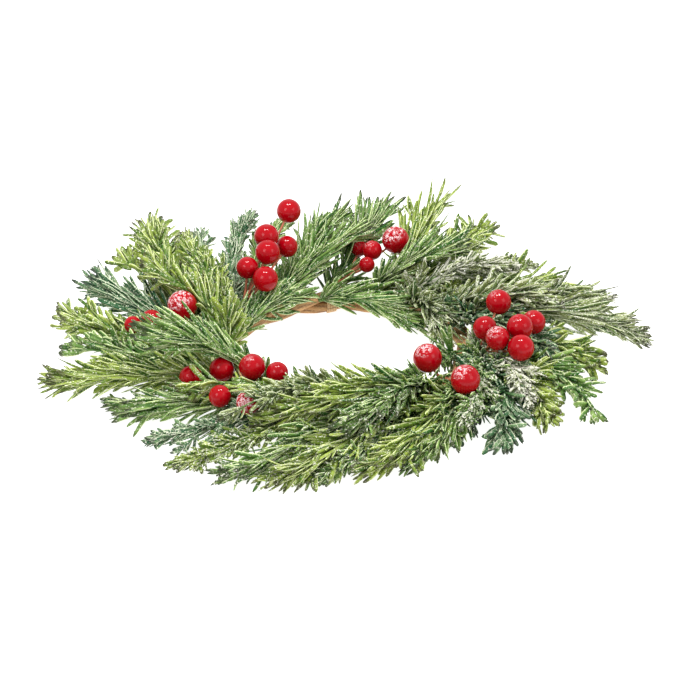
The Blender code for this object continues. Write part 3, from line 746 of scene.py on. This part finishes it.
def add_needles(rows, kind, ends, tip_angle, stop, draw):
    """Long leaves all along the stem itself, and a collar of short ones round its seat."""
    length = np.linalg.norm(ends[3] - ends[0]) * stop / MM
    needles = int(length * kind["needles"])
    collar = COLLAR_LEAVES
    last = slice(needles - END_LEAVES, needles)
    share = np.concatenate([np.sort(draw.uniform(0.03, 1, needles)), draw.uniform(0, 0.16, collar)])
    total = needles + collar
    share[last] = 1
    hand = np.where(draw.uniform(0, 1, total) < 0.5, 1.0, -1.0)
    roll = np.radians(draw.normal(0, kind["roll"], total))
    roll[needles:] = draw.uniform(-0.7, 1.1, collar)
    root, ahead, face, across = frond_frame(ends, tip_angle, share * stop)
    lean = np.interp(share, (0, 1), (kind["root"], kind["tip"]))
    start = np.radians(lean + draw.normal(0, 6, total))
    start[needles:] += draw.uniform(0, 0.5, collar)
    start[last] = END_ANGLES
    end = start - np.radians(draw.normal(kind["curve"], 16, total))
    size = kind["needle"] * swelling(share) * draw.uniform(0.7, 1.1, total)
    size[needles - END_LEAVES] = kind["length"] * END_LENGTH
    size[needles:] = draw.uniform(10, 19, collar)
    half = kind["half"] * MM * draw.uniform(0.8, 1.15, total)
    rows.append(dict(root=root, ahead=ahead, side=rolled(across, face, hand, roll),
                     length=size * MM, start=start, end=end, share=LONG_LEAF, half=half,
                     blunt=kind["blunt"], near=np.full(total, 0.05), far=0.95))


def make_spray(name, row, fan, seed):
    """One frond: its stem, its leaves and its frost, all in one piece."""
    kind, paint_name, tip_angle, frost, tone = KINDS[row[0]], row[1], row[4], row[8], row[9]
    draw = np.random.default_rng(seed)
    ends = stem_ends(row, fan)
    stop = 1 - kind["length"] * END_LENGTH * MM / np.linalg.norm(ends[3] - ends[0])
    shape = new_shape()
    line = bezier(ends, np.linspace(0, stop, STEM_STEPS))
    radius = np.linspace(STEM_RADIUS, STEM_TIP_RADIUS, STEM_STEPS)
    points = tube_points(line, radius, STEM_SIDES)
    shade = np.broadcast_to((0.3, 0.35, 0.4, 0.0), (*points.shape[:2], 4))
    add_part(shape, points, tube_faces(STEM_STEPS, STEM_SIDES), shade)
    rows = []
    add_twigs(rows, kind, ends, tip_angle, stop, draw)
    add_needles(rows, kind, ends, tip_angle, stop, draw)
    reach = max(row[5], LEAST_REACH) * MM
    found = [add_leaves(shape, leaves, tone, frost, reach, draw) for leaves in rows]
    spots, ways, weights = [np.concatenate(values) for values in zip(*found)]
    count = int(CRUMB_COUNT * frost ** CRUMB_GROWTH)
    add_crumbs(shape, spots, ways, weights ** 2, count, CRUMB_SIZE, draw, FROND_FROST)
    make_piece(name, shape, [LEAF_FINISHES[paint_name], frost_grains],
               name.replace("frond", "cedar"))


for title, sprays, fan in (("outer", OUTER_SPRAYS, OUTER_FAN), ("crown", CROWN_SPRAYS, OUTER_FAN),
                           ("inner", INNER_SPRAYS, INNER_FAN)):
    for number, row in enumerate(sprays, 1):
        make_spray(f"frond_{title}_{number:02d}", row, fan, 1000 * len(sprays) + number)


# The berry picks. Each berry is a ball of lacquered foam on a thin red-brown wire; the
# wires are twisted together into one short trunk that is wired to the canes.
PICK_TRUNK_RADIUS = 1.1 * MM
PICK_TRUNK_SHARE = 0.35
TRUNK_STEPS = 10
TRUNK_SIDES = 9
BERRY_WIRE_SAG = 3 * MM
WIRE_ROOT_RADIUS = 0.75 * MM
WIRE_TIP_RADIUS = 0.6 * MM
WIRE_STEPS = 18
WIRE_SIDES = 8
BERRY_RINGS = 22
BERRY_SIDES = 30
BERRY_POLE = 0.03
BERRY_DIMPLE = 0.05
DIMPLE_WIDTH = 0.16
# Frost settles on the side of a berry that faces up and a little to the left front
FROSTED_SIDE = np.array([-0.35, -0.25, 0.9])
BERRY_CRUMBS = 70
BERRY_CRUMB_SIZE = (0.12, 0.28)
# The finishes of a pick, by their place in its list
WIRE, FROST = 1, 2


def make_lacquer():
    """Deep red lacquer over foam, with a soft cloudy tone and blotches of frost on top."""
    tree, shader, made = new_finish("berry_lacquer", Roughness=0.12, Specular_IOR_Level=0.2)
    frost = painted(tree)[3]
    body = mix(tree, noise(tree, 150, 2), colour(132, 0, 9), colour(176, 2, 19))
    blotch = ramp(tree, noise(tree, 620, 4), 0.46, 0.58)
    grain = ramp(tree, noise(tree, 2000, 2), 0.38, 0.6, 0.3, 1.0)
    patch = maths(tree, "MULTIPLY", blotch, grain)
    snow = maths(tree, "MULTIPLY", patch, ramp(tree, frost, 0.05, 0.75))
    body = mix(tree, snow, body, mix(tree, grain, colour(206, 104, 122), colour(248, 224, 228)))
    tree.links.new(body, shader.inputs["Base Color"])
    tree.links.new(ramp(tree, snow, 0, 1, 0.13, 0.75), shader.inputs["Roughness"])
    bump(tree, shader, snow, 0.15 * MM, 0.5)
    return made


def make_wire_finish():
    """Wire wrapped in red-brown paper tape."""
    tree, shader, made = new_finish("berry_wire", Roughness=0.6)
    body = mix(tree, noise(tree, 420, 2), colour(112, 44, 30), colour(190, 112, 74))
    tree.links.new(body, shader.inputs["Base Color"])
    return made


def ball(centre, radius):
    """A ball from pole to pole, its top drawn in by a bell curve of the polar angle to a small
    dimple where the flower sat; also the way outwards at each of its points."""
    polar = np.linspace(BERRY_POLE, math.pi - BERRY_POLE, BERRY_RINGS)[:, None]
    turn = np.linspace(0, 2 * math.pi, BERRY_SIDES, endpoint=False)[None, :]
    shrink = radius * (1 - BERRY_DIMPLE * np.exp(-(polar / DIMPLE_WIDTH) ** 2))
    way = np.stack(np.broadcast_arrays(np.sin(polar) * np.cos(turn), np.sin(polar) * np.sin(turn),
                                       np.cos(polar) + 0 * turn), -1)
    return centre + way * shrink[..., None], way


def add_wire(pick, line, radius, sides):
    """A taped wire or trunk along a line, all in one tone."""
    points = tube_points(line, radius, sides)
    paint = np.full((*points.shape[:2], 4), 0.5)
    add_part(pick, points, tube_faces(len(line), sides), paint, WIRE)


lacquer = make_lacquer()
wire_finish = make_wire_finish()
berry_draw = np.random.default_rng(77)
for number, (angle, clock, berries) in enumerate(BERRY_PICKS, 1):
    pick = new_shape()
    seat = seat_point(angle, clock, PICK_TRUNK_RADIUS)
    middle = np.mean([berry[:3] for berry in berries], 0) * MM
    fork = seat + (middle - seat) * PICK_TRUNK_SHARE
    trunk = seat + (fork - seat) * np.linspace(0, 1, TRUNK_STEPS)[:, None]
    add_wire(pick, trunk, PICK_TRUNK_RADIUS, TRUNK_SIDES)
    spots, ways, weights = [], [], []
    for x, y, z, size, frost, _ in berries:
        centre = np.array([x, y, z]) * MM
        sag = -UP * BERRY_WIRE_SAG
        ends = (fork + (seat - fork) * 0.1, fork + (centre - fork) * 0.3 + sag * 0.3,
                fork + (centre - fork) * 0.7 + sag, centre)
        wire = bezier(ends, np.linspace(0, 1, WIRE_STEPS))
        radius = np.linspace(WIRE_ROOT_RADIUS, WIRE_TIP_RADIUS, WIRE_STEPS)
        add_wire(pick, wire, radius, WIRE_SIDES)
        points, way = ball(centre, size * MM)
        snow = np.clip(1.6 * (way @ FROSTED_SIDE - 0.95 + 1.05 * frost), 0, 1) * (frost > 0)
        shade = np.stack(np.broadcast_arrays(0.5, 0, 0.5, snow), -1)
        faces = [face[:, ::-1] for face in tube_faces(BERRY_RINGS, BERRY_SIDES)]
        add_part(pick, points, faces, shade)
        spots.append(points.reshape(-1, 3))
        ways.append(way.reshape(-1, 3))
        weights.append((snow * np.hypot(way[..., 0], way[..., 1])).ravel() ** 2)
    spots, ways, weights = np.concatenate(spots), np.concatenate(ways), np.concatenate(weights)
    frosted = sum(berry[4] for berry in berries)
    count = int(BERRY_CRUMBS * frosted)
    add_crumbs(pick, spots, ways, weights, count, BERRY_CRUMB_SIZE, berry_draw, FROST)
    finishes = [lacquer, wire_finish, frost_grains]
    make_piece(f"berries_{number}", pick, finishes, f"berry_pick_{number}")


# The studio. The ring lies on a plain white table under soft light from above and the
# front, and the camera looks down at it from the front, as in the photograph.
FLOOR_SIZE = 12.0
FLOOR_GREY = 0.5
FLOOR_GLOW = 0.92
SKY_GLOW = 0.9
TARGET = np.array([2.7, 0, 7.8]) * MM
CAMERA_DISTANCE = 1.8
CAMERA_HEIGHT = math.radians(27)
CAMERA_LENS = 172.7
CAMERA_SENSOR = 36

floor_mesh = bpy.data.meshes.new("table_top")
corners = FLOOR_SIZE / 2 * np.array([[-1, -1, 0], [1, -1, 0], [1, 1, 0], [-1, 1, 0]])
floor_mesh.from_pydata(corners.tolist(), [], [[0, 1, 2, 3]])
table = bpy.data.objects.new("table_top", floor_mesh)
bpy.context.scene.collection.objects.link(table)
tree, shader, paper = new_finish("white_table", Roughness=0.9, Specular_IOR_Level=0.0)
shader.inputs["Base Color"].default_value = (FLOOR_GREY, FLOOR_GREY, FLOOR_GREY, 1)
shader.inputs["Emission Color"].default_value = (1, 1, 1, 1)
shader.inputs["Emission Strength"].default_value = FLOOR_GLOW
floor_mesh.materials.append(paper)

world = bpy.data.worlds.new("studio")
bpy.context.scene.world = world
world.use_nodes = True
sky = world.node_tree.nodes["Background"]
sky.inputs["Color"].default_value = (1, 1, 1, 1)
sky.inputs["Strength"].default_value = SKY_GLOW


def add_light(name, place, size, power):
    """A square soft light at a place (m), turned so that it faces the ring's centre."""
    lamp = bpy.data.lights.new(name, "AREA")
    lamp.shape = "SQUARE"
    lamp.size = size
    lamp.energy = power
    made = bpy.data.objects.new(name, lamp)
    bpy.context.scene.collection.objects.link(made)
    made.location = place
    way = unit(np.array(place, float))
    made.rotation_euler = (math.acos(way[2]), 0, math.atan2(way[1], way[0]) + math.pi / 2)


add_light("top_left", (-0.28, 0.05, 1.5), 0.22, 11)
add_light("top_right", (0.2, 0.1, 1.5), 0.22, 11)
add_light("front_left", (-1.1, -1.3, 1.3), 0.8, 12)
add_light("front_right", (1.3, -0.9, 1.0), 0.8, 6)

camera = bpy.data.cameras.new("photo_camera")
camera.lens = CAMERA_LENS
camera.sensor_width = CAMERA_SENSOR
camera.clip_start = 0.05
viewer = bpy.data.objects.new("photo_camera", camera)
bpy.context.scene.collection.objects.link(viewer)
away = np.array([0, -math.cos(CAMERA_HEIGHT), math.sin(CAMERA_HEIGHT)])
viewer.location = TARGET + CAMERA_DISTANCE * away
viewer.rotation_euler = (math.pi / 2 - CAMERA_HEIGHT, 0, 0)
bpy.context.scene.camera = viewer
bpy.context.scene.view_settings.view_transform = "Standard"
